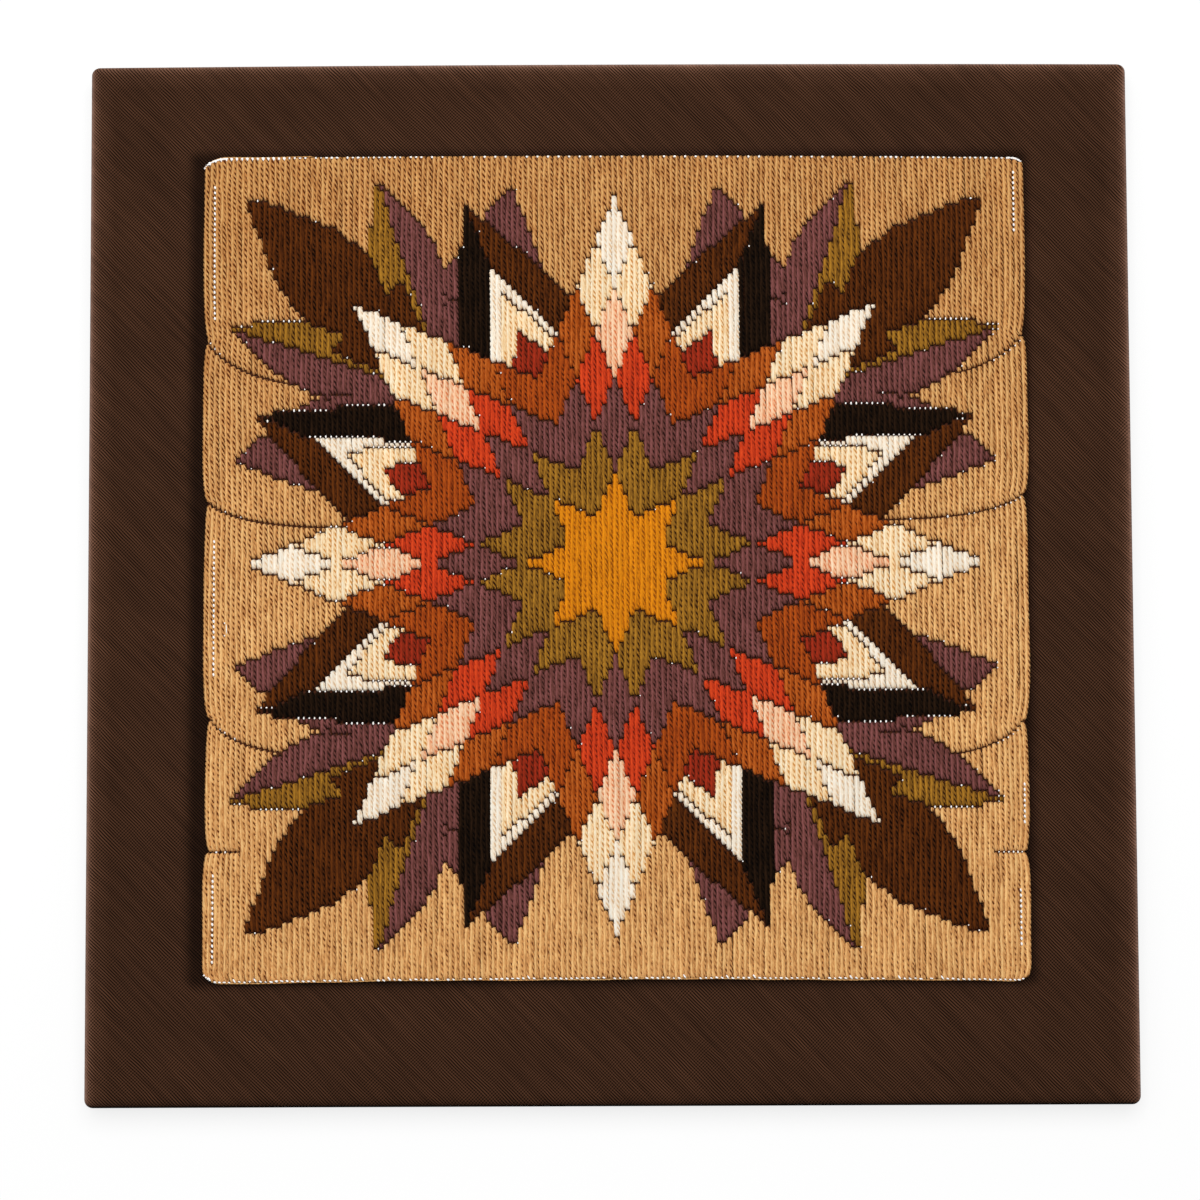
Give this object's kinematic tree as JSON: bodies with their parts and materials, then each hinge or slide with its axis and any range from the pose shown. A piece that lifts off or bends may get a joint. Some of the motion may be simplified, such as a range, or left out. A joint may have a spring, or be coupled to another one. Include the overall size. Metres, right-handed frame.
{
  "type": "woven tapestry on a cloth-covered board",
  "caption": "Square wool needlework panel with a geometric star medallion, laid on a flat board covered in dark brown twill cloth.",
  "frame": {"origin": "middle of the board's back, at the bottom of the object's box", "axes": "+X across the picture to the right, +Y up the picture, +Z out of its face"},
  "size_m": [0.5, 0.5, 0.0213],
  "materials": {
    "wool": "matte plied wool in upright stitches",
    "board_cloth": "matte brown cotton twill"
  },
  "bodies": {
    "root": {"tapestry": "wool", "covered_board": "board_cloth"}
  },
  "joints": []
}
